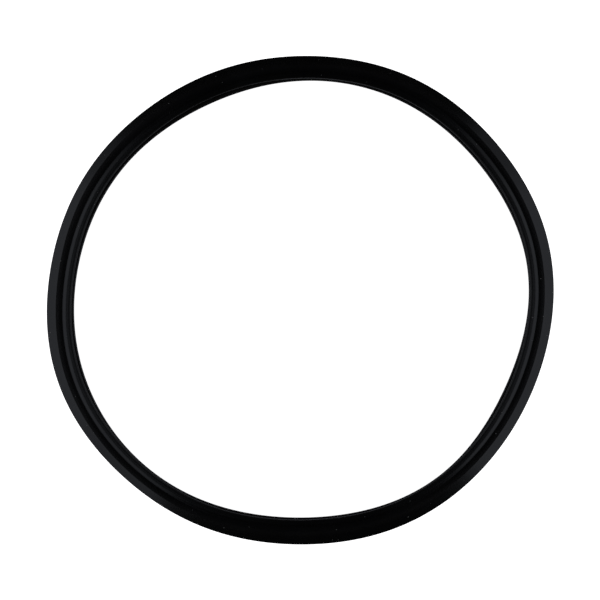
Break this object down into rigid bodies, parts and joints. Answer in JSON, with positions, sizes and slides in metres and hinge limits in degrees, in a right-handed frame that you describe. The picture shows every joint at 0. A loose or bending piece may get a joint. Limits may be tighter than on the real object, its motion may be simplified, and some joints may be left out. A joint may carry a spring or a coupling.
{
  "type": "pressure cooker sealing ring",
  "caption": "Endless black rubber sealing ring for a pressure cooker lid, with a flat seat, a sloping shoulder, a level channel and a lip that reaches back over the flange.",
  "frame": {"origin": "middle of the ring's box, on the flat seat face that the ring lies on", "axes": "+Z from the seat face to the sealing land, +X along the slack ring's longer diameter"},
  "size_m": [0.2458, 0.2358, 0.0086],
  "materials": {
    "black_rubber": "satin moulded rubber"
  },
  "bodies": {
    "root": {"sealing_ring": "black_rubber"}
  },
  "joints": []
}
